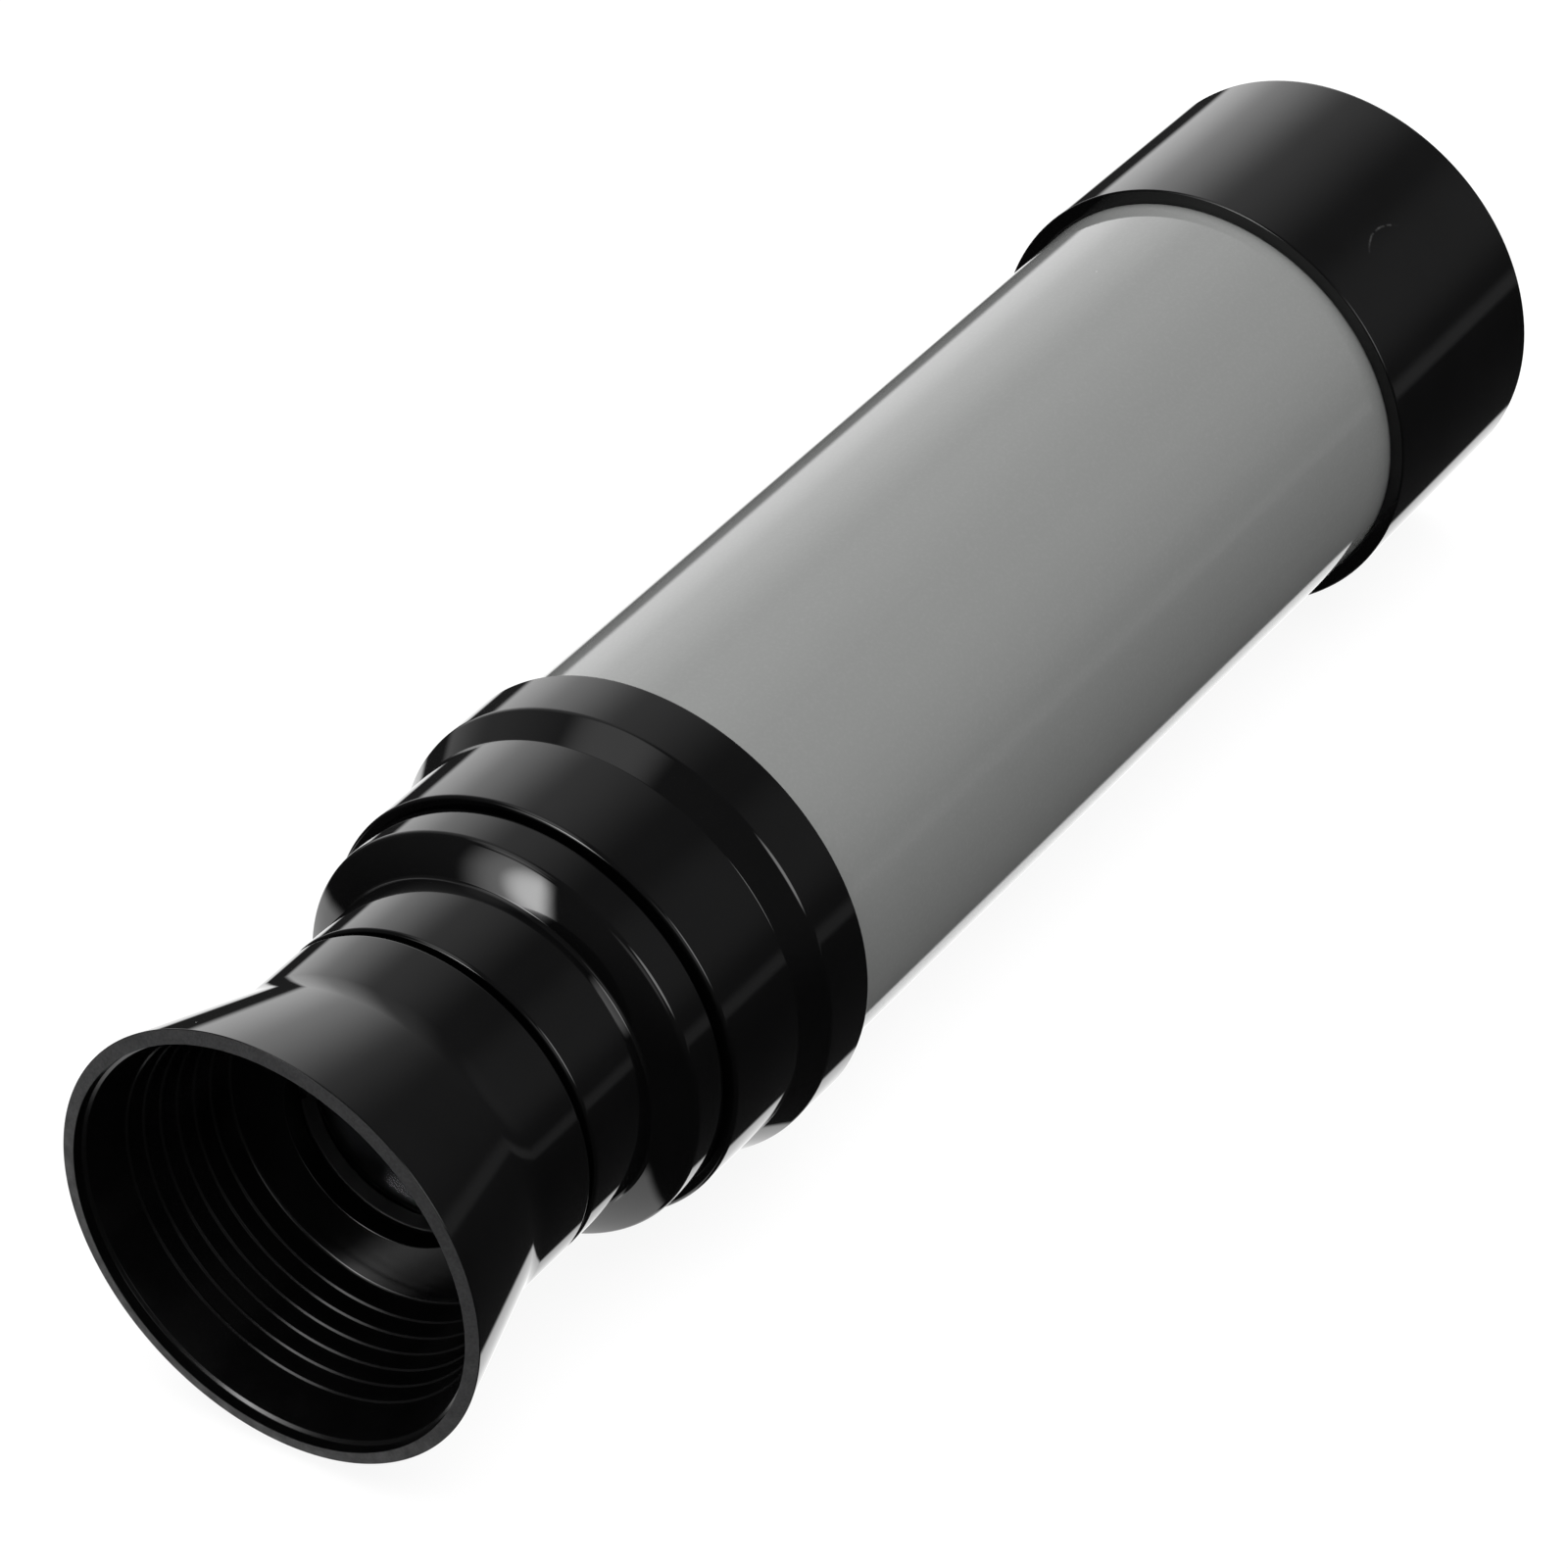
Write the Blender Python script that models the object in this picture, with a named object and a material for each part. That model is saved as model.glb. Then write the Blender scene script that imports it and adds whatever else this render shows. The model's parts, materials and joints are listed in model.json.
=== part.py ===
"""Hand-held draw telescope with three sections, pushed together and lying on its side.

Metres, +Z up. The optical axis runs along X: the eyecup is at -X and the objective at +X.
The origin is on the surface it lies on, below the middle of its closed length.
Outlines and stations are in millimetres. A station is a distance along the optical axis from the
rear face of the eyecup, and an outline is measured from its own piece's rear face.
"""

import math

import bmesh
import bpy
from mathutils import Matrix, Vector

MM = 0.001

# Driving dimensions, in millimetres.
LENGTH = 168.3
REST_RADIUS = 21.45  # of the hood's rear edge and of the rear collar, which the telescope lies on
HOOD_FRONT_RADIUS = 21.15  # the hood draws in slightly towards its front, as moulded parts do
BARREL_RADIUS = 20.0
BARREL_WALL = 1.2
NECK_1_RADIUS = 20.0
COLLAR_2_RADIUS = 19.15
NECK_2_RADIUS = 15.95
CUP_RIM_RADIUS = 20.15
CUP_RIM_WALL = 1.25
RIB_HEIGHT = 0.9  # of the ribs and flanges near the draw tubes' front ends
TUBE_1_RADIUS = 17.0
TUBE_2_RADIUS = 13.8
TUBE_WALL = 0.9
LENS_RADIUS = 10.7  # erector and eyepiece
OBJECTIVE_RADIUS = 16.0
SPACER_WALL = 0.8
GAP = 0.3  # between pieces that touch or slide
DRAW_1_TRAVEL = 80.0
DRAW_2_TRAVEL = 80.0

# Stations where one visible piece ends and the next begins, or where its outline changes.
CUP_CREASE = 14.0
CUP_FRONT = 21.3
NECK_2_REAR = 22.0
NECK_2_BASE = 30.0
BAND_2_REAR = 31.8
BAND_2_FRONT = 35.6
NECK_1_REAR = 36.0
NECK_1_BASE = 45.1
BAND_1_REAR = 47.8
BAND_1_FRONT = 53.4
HOOD_REAR = 143.9

# Stations of what is inside.
CUP_SOCKET_REAR = 18.0
COLLAR_1_SPIGOT_FRONT = 54.0
COLLAR_2_SPIGOT_FRONT = 46.0
BARREL_REAR = 48.6
BARREL_FRONT = 147.0

RIB_TO_FRONT = 6.1  # from a rib to its tube's front end: the rib, and the bush's seat

OUTER_SIDES = 48
INNER_SIDES = 32
AXIS_HEIGHT = REST_RADIUS * math.cos(math.pi / OUTER_SIDES)  # a flat of each round piece faces down

BLACK_GLOSS = ((0.012, 0.012, 0.013), 0.12, 0.0)
BLACK_MATT = ((0.02, 0.02, 0.021), 0.6, 0.0)
BLACK_TUBE = ((0.015, 0.015, 0.017), 0.2, 0.0)
GREY_GLOSS = ((0.245, 0.25, 0.243), 0.18, 0.0)
FELT = ((0.03, 0.03, 0.032), 0.95, 0.0)
NYLON = ((0.62, 0.61, 0.57), 0.45, 0.0)
GLASS = ((0.9, 0.93, 0.95), 0.02, 0.0)


def clear_scene():
    for obj in list(bpy.data.objects):
        bpy.data.objects.remove(obj, do_unlink=True)


def material(name, look):
    colour, roughness, metallic = look
    made = bpy.data.materials.new(name)
    made.use_nodes = True
    shader = made.node_tree.nodes["Principled BSDF"]
    shader.inputs["Base Color"].default_value = (*colour, 1.0)
    shader.inputs["Roughness"].default_value = roughness
    shader.inputs["Metallic"].default_value = metallic
    if look is GLASS:
        shader.inputs["Transmission Weight"].default_value = 1.0
    return made


def on_axis(name, station, carrier=None):
    """An empty on the optical axis, which carries the pieces of one moving body."""
    empty = bpy.data.objects.new(name, None)
    bpy.context.scene.collection.objects.link(empty)
    empty["station"] = station
    if carrier is None:
        empty.location = ((station - LENGTH / 2) * MM, 0.0, AXIS_HEIGHT * MM)
    else:
        empty.parent = carrier
        empty.location = ((station - carrier["station"]) * MM, 0.0, 0.0)
    return empty


def turned(name, carrier, rear, outline, look, sides=INNER_SIDES):
    """A closed outline of (along, radius) points, turned about the optical axis."""
    shape = bmesh.new()
    half_side = Matrix.Rotation(math.pi / sides, 3, "X")
    points = [shape.verts.new(half_side @ profile_point(p)) for p in outline]
    edges = [shape.edges.new((a, b)) for a, b in zip(points, points[1:] + points[:1])]
    bmesh.ops.spin(shape, geom=points + edges, axis=(1, 0, 0), cent=(0, 0, 0),
                   angle=2 * math.pi, steps=sides, use_merge=True)
    bmesh.ops.remove_doubles(shape, verts=shape.verts, dist=1e-7)
    on_the_axis = [e for e in shape.edges if not e.link_faces]
    bmesh.ops.delete(shape, geom=on_the_axis, context="EDGES")
    bmesh.ops.recalc_face_normals(shape, faces=shape.faces)
    mesh = bpy.data.meshes.new(name)
    shape.to_mesh(mesh)
    shape.free()
    mesh.shade_smooth()
    mesh.set_sharp_from_angle(angle=math.radians(25))
    obj = bpy.data.objects.new(name, mesh)
    bpy.context.scene.collection.objects.link(obj)
    obj.parent = carrier
    obj.location = ((rear - carrier["station"]) * MM, 0.0, 0.0)
    mesh.materials.append(material(name, look))
    return obj


def profile_point(point):
    along, radius = point
    return Vector((along * MM, 0.0, -radius * MM))


def sleeve(name, carrier, rear, front, inner, outer, look, sides=INNER_SIDES):
    """A plain tube or ring."""
    outline = [(0, inner), (0, outer), (front - rear, outer), (front - rear, inner)]
    return turned(name, carrier, rear, outline, look, sides)


def bulge(along, height, radius, steps=3):
    """Points of a lens face, from its edge in to the axis; height is how far its middle stands out."""
    if height == 0:
        return [(along, radius), (along, 0)]
    sphere = (radius ** 2 + height ** 2) / (2 * height)
    points = []
    for i in range(steps + 1):
        r = radius * (1 - i / steps)
        rise = math.copysign(math.sqrt(sphere ** 2 - r ** 2), sphere) - (sphere - height)
        points.append((along + rise, r))
    return points


def lens(name, carrier, rear, edge, radius, rear_height, front_height):
    """A round lens: the heights say how far each face stands out of its edge, towards +X."""
    rear_face = bulge(0, rear_height, radius)
    front_face = bulge(edge, front_height, radius)
    return turned(name, carrier, rear, rear_face[::-1] + front_face, GLASS)


def cut_notches(ring, face, inner, outer, width=1.4, depth=0.8):
    """Two slots across a ring's face, for the tool that screws it in."""
    for number, angle in enumerate((0.0, math.pi)):
        shape = bmesh.new()
        bmesh.ops.create_cube(shape, size=1.0)
        overshoot = 1.0
        radial = outer - inner + 2 * overshoot
        middle = (outer + inner) / 2
        sizes = Matrix.Diagonal((2 * depth * MM, radial * MM, width * MM, 1.0))
        place = Matrix.Rotation(angle, 4, "X") @ Matrix.Translation((face * MM, middle * MM, 0.0))
        bmesh.ops.transform(shape, matrix=place @ sizes, verts=shape.verts)
        mesh = bpy.data.meshes.new(f"{ring.name}_notch")
        shape.to_mesh(mesh)
        shape.free()
        cutter = bpy.data.objects.new(f"{ring.name}_notch_{number + 1}", mesh)
        bpy.context.scene.collection.objects.link(cutter)
        cutter.parent = ring
        cutter.hide_render = True
        cutter.display_type = "WIRE"
        cut = ring.modifiers.new(f"notch_{number + 1}", "BOOLEAN")
        cut.operation = "DIFFERENCE"
        cut.object = cutter


# ---- the barrel and what is fixed to it ----

def rear_collar(carrier):
    """Cap on the barrel's rear end: a band, a sloping shoulder and the neck that draw tube 1 slides in."""
    bore = TUBE_1_RADIUS + GAP
    groove = bore + 1.3
    spigot = BARREL_RADIUS - BARREL_WALL - GAP
    edge = 0.3
    liner_rear = 38.0
    liner_front = 44.5
    stations = [
        (NECK_1_REAR, bore), (NECK_1_REAR, NECK_1_RADIUS - edge), (NECK_1_REAR + edge, NECK_1_RADIUS),
        (NECK_1_BASE, NECK_1_RADIUS), (BAND_1_REAR, REST_RADIUS), (BAND_1_FRONT, REST_RADIUS),
        (BAND_1_FRONT, BARREL_RADIUS + GAP), (BARREL_REAR - GAP, BARREL_RADIUS + GAP),
        (BARREL_REAR - GAP, spigot), (COLLAR_1_SPIGOT_FRONT, spigot), (COLLAR_1_SPIGOT_FRONT, bore),
        (liner_front, bore), (liner_front, groove), (liner_rear, groove), (liner_rear, bore),
    ]
    outline = [(station - NECK_1_REAR, radius) for station, radius in stations]
    turned("rear_collar", carrier, NECK_1_REAR, outline, BLACK_GLOSS, OUTER_SIDES)
    sleeve("rear_collar_liner", carrier, liner_rear + GAP, liner_front - GAP, bore, groove - GAP, FELT)


def objective_hood(carrier):
    """Front cap: it screws over the barrel's end, holds the lens cell and shades the glass."""
    skirt_bore = BARREL_RADIUS + GAP
    skirt_end = BARREL_FRONT + GAP / 2
    cell_bore = 19.3
    cell_stop = 158.3
    throat = 18.0
    throat_length = 2.0
    mouth = 19.6
    edge = 0.35
    stations = [
        (HOOD_REAR, skirt_bore), (HOOD_REAR, REST_RADIUS), (LENGTH - edge, HOOD_FRONT_RADIUS),
        (LENGTH, HOOD_FRONT_RADIUS - edge), (LENGTH, mouth), (cell_stop + throat_length, throat),
        (cell_stop, throat), (cell_stop, cell_bore), (skirt_end, cell_bore), (skirt_end, skirt_bore),
    ]
    outline = [(station - HOOD_REAR, radius) for station, radius in stations]
    turned("objective_hood", carrier, HOOD_REAR, outline, BLACK_GLOSS, OUTER_SIDES)


def objective(carrier):
    """The lens cell, the two lenses of the objective and the ring that holds them in."""
    cell_rear = BARREL_FRONT + GAP
    cell_front = 158.0
    outer = 19.0
    bore = OBJECTIVE_RADIUS + GAP
    lip = 15.0
    seat = 2.2
    length = cell_front - cell_rear
    outline = [(0, lip), (0, outer), (length, outer), (length, bore), (seat, bore), (seat, lip)]
    turned("objective_cell", carrier, cell_rear, outline, BLACK_MATT)
    flint_rear = cell_rear + seat + GAP
    flint_edge = 3.2
    crown_edge = 1.6
    curve = 1.7  # how far the crown's faces stand out; the flint is hollowed to match
    flint_hollow = 0.4  # of the flint's rear face
    lens("objective_flint_lens", carrier, flint_rear, flint_edge, OBJECTIVE_RADIUS, flint_hollow, -curve)
    crown_rear = flint_rear + flint_edge + GAP
    lens("objective_crown_lens", carrier, crown_rear, crown_edge, OBJECTIVE_RADIUS, -curve, curve)
    ring_rear = crown_rear + crown_edge + GAP
    ring_length = 2.0
    ring_inner = 15.2
    ring = sleeve("objective_retaining_ring", carrier, ring_rear, ring_rear + ring_length, ring_inner,
                  OBJECTIVE_RADIUS, BLACK_MATT)
    cut_notches(ring, ring_length, ring_inner, OBJECTIVE_RADIUS)


# ---- the two draws ----

def draw_tube(name, carrier, rear, front, radius, rib_rear, rib_radius):
    """A drawn tube with the rib near its front end that stops it from being pulled out."""
    inner = radius - TUBE_WALL
    rib_width = 1.1
    stations = [
        (rear, inner), (rear, radius), (rib_rear, radius), (rib_rear, rib_radius),
        (rib_rear + rib_width, rib_radius), (rib_rear + rib_width, radius), (front, radius),
        (front, inner),
    ]
    outline = [(station - rear, r) for station, r in stations]
    turned(name, carrier, rear, outline, BLACK_TUBE)
    return rib_rear + rib_width


def draw_1_bush(carrier, rear, front):
    """Guide bush at draw tube 1's front end: it slides in the barrel, and the tube turns in it."""
    sleeve("draw_1_guide_bush", carrier, rear, front, TUBE_1_RADIUS + GAP,
           BARREL_RADIUS - BARREL_WALL - GAP, NYLON)


def draw_1_baffle(carrier, rear):
    """Light stop plugged into draw tube 1's front end; its flange keeps the bush on."""
    flange = 1.2
    plug = 3.0
    plug_radius = TUBE_1_RADIUS - TUBE_WALL - GAP
    plug_wall = 1.0
    hole = 13.4
    flange_radius = TUBE_1_RADIUS + RIB_HEIGHT
    outline = [
        (-plug, plug_radius - plug_wall), (-plug, plug_radius), (0, plug_radius), (0, flange_radius),
        (flange, flange_radius), (flange, hole), (0, hole),
    ]
    turned("draw_1_baffle", carrier, rear, outline, BLACK_MATT)


def draw_collar(carrier):
    """Cap on draw tube 1's rear end: the neck that draw tube 2 slides in, a shoulder and a band."""
    bore = TUBE_2_RADIUS + GAP
    groove = bore + 1.1
    seat_radius = TUBE_1_RADIUS + GAP
    seat = 33.0
    spigot = TUBE_1_RADIUS - TUBE_WALL - GAP
    edge = 0.3
    liner_rear = 24.0
    liner_front = 29.0
    stations = [
        (NECK_2_REAR, bore), (NECK_2_REAR, NECK_2_RADIUS - edge), (NECK_2_REAR + edge, NECK_2_RADIUS),
        (NECK_2_BASE, NECK_2_RADIUS), (BAND_2_REAR, COLLAR_2_RADIUS), (BAND_2_FRONT, COLLAR_2_RADIUS),
        (BAND_2_FRONT, seat_radius), (seat, seat_radius), (seat, spigot),
        (COLLAR_2_SPIGOT_FRONT, spigot), (COLLAR_2_SPIGOT_FRONT, bore),
        (liner_front, bore), (liner_front, groove), (liner_rear, groove), (liner_rear, bore),
    ]
    outline = [(station - NECK_2_REAR, radius) for station, radius in stations]
    turned("draw_collar", carrier, NECK_2_REAR, outline, BLACK_GLOSS, OUTER_SIDES)
    sleeve("draw_collar_liner", carrier, liner_rear + GAP, liner_front - GAP, bore, groove - GAP, FELT)
    return seat + GAP


def draw_2_bush(carrier, rear, front):
    """Guide bush at draw tube 2's front end: it slides in draw tube 1, and the tube turns in it."""
    sleeve("draw_2_guide_bush", carrier, rear, front, TUBE_2_RADIUS + GAP,
           TUBE_1_RADIUS - TUBE_WALL - GAP, NYLON)


def erector(carrier, flange_rear):
    """The lens pair that turns the image upright, in its own tube in draw tube 2's front end."""
    outer = TUBE_2_RADIUS - TUBE_WALL - GAP
    bore = LENS_RADIUS + GAP
    flange = 1.2
    flange_radius = TUBE_2_RADIUS + RIB_HEIGHT
    length = 35.0
    rear = flange_rear - length
    lip = 1.2
    lip_radius = 9.0
    stations = [
        (rear, lip_radius), (rear, outer), (flange_rear, outer), (flange_rear, flange_radius),
        (flange_rear + flange, flange_radius), (flange_rear + flange, bore), (rear + lip, bore),
        (rear + lip, lip_radius),
    ]
    turned("erector_tube", carrier, rear, [(s - rear, r) for s, r in stations], BLACK_MATT)
    edge = 1.6
    curve = 1.5
    ring_length = 1.8
    rear_lens = rear + lip + GAP
    lens("erector_rear_lens", carrier, rear_lens, edge, LENS_RADIUS, 0, curve)
    front_lens = flange_rear + flange - ring_length - GAP - edge
    lens("erector_front_lens", carrier, front_lens, edge, LENS_RADIUS, -curve, 0)
    sleeve("erector_spacer", carrier, rear_lens + edge + GAP, front_lens - GAP, LENS_RADIUS - SPACER_WALL,
           LENS_RADIUS, BLACK_MATT)
    ring_rear = front_lens + edge + GAP
    ring_inner = 9.0
    ring = sleeve("erector_retaining_ring", carrier, ring_rear, ring_rear + ring_length, ring_inner,
                  LENS_RADIUS, BLACK_MATT)
    cut_notches(ring, ring_length, ring_inner, LENS_RADIUS)


def eyecup(carrier):
    """Eye shade: a cylinder that opens into a cone. Its floor, with the eye hole, meets the eyepiece."""
    crease_half = 0.3  # the crease between cone and cylinder is slightly rounded
    flare = (CUP_RIM_RADIUS - NECK_2_RADIUS) / CUP_CREASE
    lip = 1.2
    lip_step = 0.45
    floor_slope = 0.3
    floor_rear = 15.2
    floor_front = 16.9
    floor_radius = 14.9
    hole = 9.7
    socket = TUBE_2_RADIUS + GAP
    ledge = 12.9
    inside_rim = CUP_RIM_RADIUS - CUP_RIM_WALL
    outline = [
        (0, inside_rim), (0, CUP_RIM_RADIUS),
        (CUP_CREASE - crease_half, NECK_2_RADIUS + flare * crease_half),
        (CUP_CREASE + crease_half, NECK_2_RADIUS), (CUP_FRONT, NECK_2_RADIUS),
        (CUP_FRONT, socket), (CUP_SOCKET_REAR, socket), (CUP_SOCKET_REAR, ledge), (floor_front, ledge),
        (floor_front, hole), (floor_rear, hole), (floor_rear - floor_slope, floor_radius),
        (lip, inside_rim - lip_step),
    ]
    turned("eyecup", carrier, 0.0, outline, BLACK_GLOSS, OUTER_SIDES)
    return floor_front


def eyepiece(carrier, rear):
    """The eyepiece's own barrel, with the eye lens, spacer, field stop and field lens in a stack."""
    outer = TUBE_2_RADIUS - TUBE_WALL - GAP
    bore = LENS_RADIUS + GAP
    barrel_rear = rear + GAP
    barrel_front = 44.0
    lip = 1.2
    lip_radius = 9.5
    length = barrel_front - barrel_rear
    outline = [
        (0, bore), (0, outer), (length, outer), (length, lip_radius), (length - lip, lip_radius),
        (length - lip, bore),
    ]
    turned("eyepiece_barrel", carrier, barrel_rear, outline, BLACK_MATT)
    ring_length = 1.2
    ring_inner = 8.8
    ring = sleeve("eye_lens_ring", carrier, barrel_rear, barrel_rear + ring_length, ring_inner,
                  LENS_RADIUS, BLACK_MATT)
    cut_notches(ring, 0.0, ring_inner, LENS_RADIUS, depth=0.5)
    edge = 1.6
    eye_curve = 1.9
    field_curve = 1.0
    eye_lens = barrel_rear + ring_length + GAP
    lens("eye_lens", carrier, eye_lens, edge, LENS_RADIUS, 0, eye_curve)
    field_lens = barrel_front - lip - GAP - edge
    lens("field_lens", carrier, field_lens, edge, LENS_RADIUS, 0, field_curve)
    stop_length = 0.8
    stop_hole = 7.0
    stop_rear = field_lens - GAP - stop_length
    sleeve("field_stop", carrier, stop_rear, field_lens - GAP, stop_hole, LENS_RADIUS, BLACK_MATT)
    sleeve("eyepiece_spacer", carrier, eye_lens + edge + GAP, stop_rear - GAP, LENS_RADIUS - SPACER_WALL,
           LENS_RADIUS, BLACK_MATT)


def build():
    clear_scene()
    fixed = on_axis("telescope_axis", 0.0)
    sleeve("main_barrel", fixed, BARREL_REAR, BARREL_FRONT, BARREL_RADIUS - BARREL_WALL,
           BARREL_RADIUS, GREY_GLOSS, OUTER_SIDES)
    rear_collar(fixed)
    objective_hood(fixed)
    objective(fixed)

    rib_1 = COLLAR_1_SPIGOT_FRONT + DRAW_1_TRAVEL + GAP
    tube_1_front = rib_1 + RIB_TO_FRONT
    slide_1 = on_axis("draw_1_slide_axis", rib_1, fixed)
    turn_1 = on_axis("draw_1_turn_axis", NECK_2_REAR, slide_1)
    tube_1_rear = draw_collar(turn_1)
    bush_rear = draw_tube("draw_tube_1", turn_1, tube_1_rear, tube_1_front, TUBE_1_RADIUS, rib_1,
                          TUBE_1_RADIUS + RIB_HEIGHT)
    draw_1_bush(slide_1, bush_rear + GAP, tube_1_front)
    draw_1_baffle(turn_1, tube_1_front + GAP)

    rib_2 = COLLAR_2_SPIGOT_FRONT + DRAW_2_TRAVEL + GAP
    tube_2_front = rib_2 + RIB_TO_FRONT
    slide_2 = on_axis("draw_2_slide_axis", rib_2, turn_1)
    turn_2 = on_axis("draw_2_turn_axis", 0.0, slide_2)
    floor_front = eyecup(turn_2)
    bush_rear = draw_tube("draw_tube_2", turn_2, CUP_SOCKET_REAR + GAP, tube_2_front, TUBE_2_RADIUS,
                          rib_2, TUBE_2_RADIUS + RIB_HEIGHT)
    draw_2_bush(slide_2, bush_rear + GAP, tube_2_front)
    erector(turn_2, tube_2_front + GAP)
    eyepiece(turn_2, floor_front)


build()
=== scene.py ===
import json
import math

import bmesh
import bpy
import numpy as np
from mathutils import Matrix, Vector


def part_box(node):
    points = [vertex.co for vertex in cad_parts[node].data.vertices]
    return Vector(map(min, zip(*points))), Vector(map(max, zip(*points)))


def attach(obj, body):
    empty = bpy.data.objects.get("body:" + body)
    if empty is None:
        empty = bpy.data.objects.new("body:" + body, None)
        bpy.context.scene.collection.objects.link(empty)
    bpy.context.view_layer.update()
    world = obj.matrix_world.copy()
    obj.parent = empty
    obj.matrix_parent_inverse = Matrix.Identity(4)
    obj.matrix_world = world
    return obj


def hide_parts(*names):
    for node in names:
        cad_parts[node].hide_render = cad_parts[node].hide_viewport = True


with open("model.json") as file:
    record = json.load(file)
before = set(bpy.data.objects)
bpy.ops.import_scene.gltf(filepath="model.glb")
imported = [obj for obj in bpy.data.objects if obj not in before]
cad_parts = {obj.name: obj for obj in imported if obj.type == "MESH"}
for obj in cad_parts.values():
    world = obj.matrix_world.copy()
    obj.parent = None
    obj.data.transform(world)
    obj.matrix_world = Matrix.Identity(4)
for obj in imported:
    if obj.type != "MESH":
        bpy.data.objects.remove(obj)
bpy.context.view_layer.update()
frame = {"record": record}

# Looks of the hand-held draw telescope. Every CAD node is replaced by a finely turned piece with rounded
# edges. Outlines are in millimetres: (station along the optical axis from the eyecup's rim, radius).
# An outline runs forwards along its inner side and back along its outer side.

MM = 0.001
CUP_LOW, CUP_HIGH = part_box("eyecup")
AXIS = Vector((CUP_LOW.x, 0.0, (CUP_LOW.z + CUP_HIGH.z) / 2))  # middle of the eyecup's rim
BODY_OF = {node: body for body, nodes in frame["record"]["behaviour"]["bodies"].items() for node in nodes}
SLOT_OF = {row["node"]: row["material_slot"] for row in frame["record"]["subparts"]}

SEGMENTS = 160        # round the axis
EDGE = 0.12           # radius of an edge that nothing else rounds
SMOOTH_TURN = 0.35    # radians: an outline that turns less than this at a point stays smooth there
ARC_STEP = 0.26       # radians between the points of a rounded edge
FILLET_SHARE = 0.45   # of the shorter side next to a corner: the most that its rounding may take
FIT = 0.03            # gap between pieces that are screwed or pressed together
TINY = 1e-6


def span(node):
    """A CAD node's rear and front station and its outer radius, in mm."""
    low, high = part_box(node)
    return (low.x - AXIS.x) / MM, (high.x - AXIS.x) / MM, (high.z - low.z) / 2 / MM


def add_object(name, data):
    """A new object in the scene."""
    thing = bpy.data.objects.new(name, data)
    bpy.context.scene.collection.objects.link(thing)
    return thing


def add_node(tree, kind, inputs=None, **settings):
    """A new shader node. An input is a value for its socket, or another node's socket to link to it."""
    node = tree.nodes.new(kind)
    for key, value in settings.items():
        setattr(node, key, value)
    for key, value in (inputs or {}).items():
        if isinstance(value, bpy.types.NodeSocket):
            tree.links.new(value, node.inputs[key])
        else:
            node.inputs[key].default_value = value
    return node


# ---- turned shapes ----

def outward(heading):
    """The normal on the right of a heading, which is outside for an outline that runs as above."""
    return Vector((heading.y, -heading.x))


def rounded(outline, closed=True):
    """(point, normal) along an outline. A corner is (station, radius) or (station, radius, fillet). An
    outline that isn't closed starts and ends on the axis, on its front and its rear face."""
    points = [Vector(corner[:2]) for corner in outline]
    result = []
    count = len(points)
    for i, here in enumerate(points):
        if not closed and i in (0, count - 1):
            result.append((here, Vector((1.0 if i == 0 else -1.0, 0.0))))
            continue
        before = here - points[i - 1]
        after = points[(i + 1) % count] - here
        way_in = before.normalized()
        way_out = after.normalized()
        turn = math.atan2(way_in.x * way_out.y - way_in.y * way_out.x, way_in.dot(way_out))
        if abs(turn) < SMOOTH_TURN and len(outline[i]) == 2:
            result.append((here, (outward(way_in) + outward(way_out)).normalized()))
            continue
        fillet = outline[i][2] if len(outline[i]) == 3 else EDGE
        half = math.tan(abs(turn) / 2)
        fillet = min(fillet, FILLET_SHARE * min(before.length, after.length) / half)
        side = math.copysign(1.0, turn)
        centre = here - way_in * fillet * half - side * fillet * outward(way_in)
        steps = max(2, math.ceil(abs(turn) / ARC_STEP))
        for step in range(steps + 1):
            normal = outward(way_in)
            normal.rotate(Matrix.Rotation(turn * step / steps, 2))
            result.append((centre + side * fillet * normal, normal))
    return result


def lathe(name, outline, closed=True, segments=SEGMENTS):
    """The outline turned about the optical axis, as an object with its origin on AXIS."""
    profile = rounded(outline, closed)
    angles = np.arange(segments) * (2 * math.pi / segments)
    around = np.stack([np.cos(angles), np.sin(angles)], axis=1)
    vertices = []
    normals = []
    rings = []
    for point, normal in profile:
        pole = point.y < TINY
        first = len(vertices)
        for y, z in around[:1] if pole else around:
            vertices.append((point.x * MM, point.y * MM * y, point.y * MM * z))
            normals.append((normal.x, normal.y * y, normal.y * z))
        rings.append([first] * segments if pole else list(range(first, first + segments)))
    faces = []
    pairs = zip(rings, rings[1:] + rings[:1]) if closed else zip(rings, rings[1:])
    for near, far in pairs:
        for j in range(segments):
            k = (j + 1) % segments
            corners = [near[j], far[j], far[k], near[k]]
            faces.append(list(dict.fromkeys(corners)))
    mesh = bpy.data.meshes.new(name)
    mesh.from_pydata(vertices, [], faces)
    mesh.shade_smooth()
    mesh.normals_split_custom_set_from_vertices(normals)
    piece = add_object(name, mesh)
    piece.location = AXIS
    return piece


def sleeve(rear, front, bore, outer, edge=EDGE):
    """Outline of a plain tube or ring."""
    return [(rear, bore, edge), (front, bore, edge), (front, outer, edge), (rear, outer, edge)]


def dome(station, radius, height, steps=14):
    """Points of a polished lens face from its middle out to its edge; height is how far the middle stands
    out towards the front."""
    if abs(height) < TINY:
        return [(station, 0.0), (station, radius)]
    sphere = (radius ** 2 + height ** 2) / (2 * height)
    points = []
    for i in range(steps + 1):
        r = radius * i / steps
        rise = math.copysign(math.sqrt(sphere ** 2 - r ** 2), sphere) - (sphere - height)
        points.append((station + rise, r))
    return points


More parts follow.
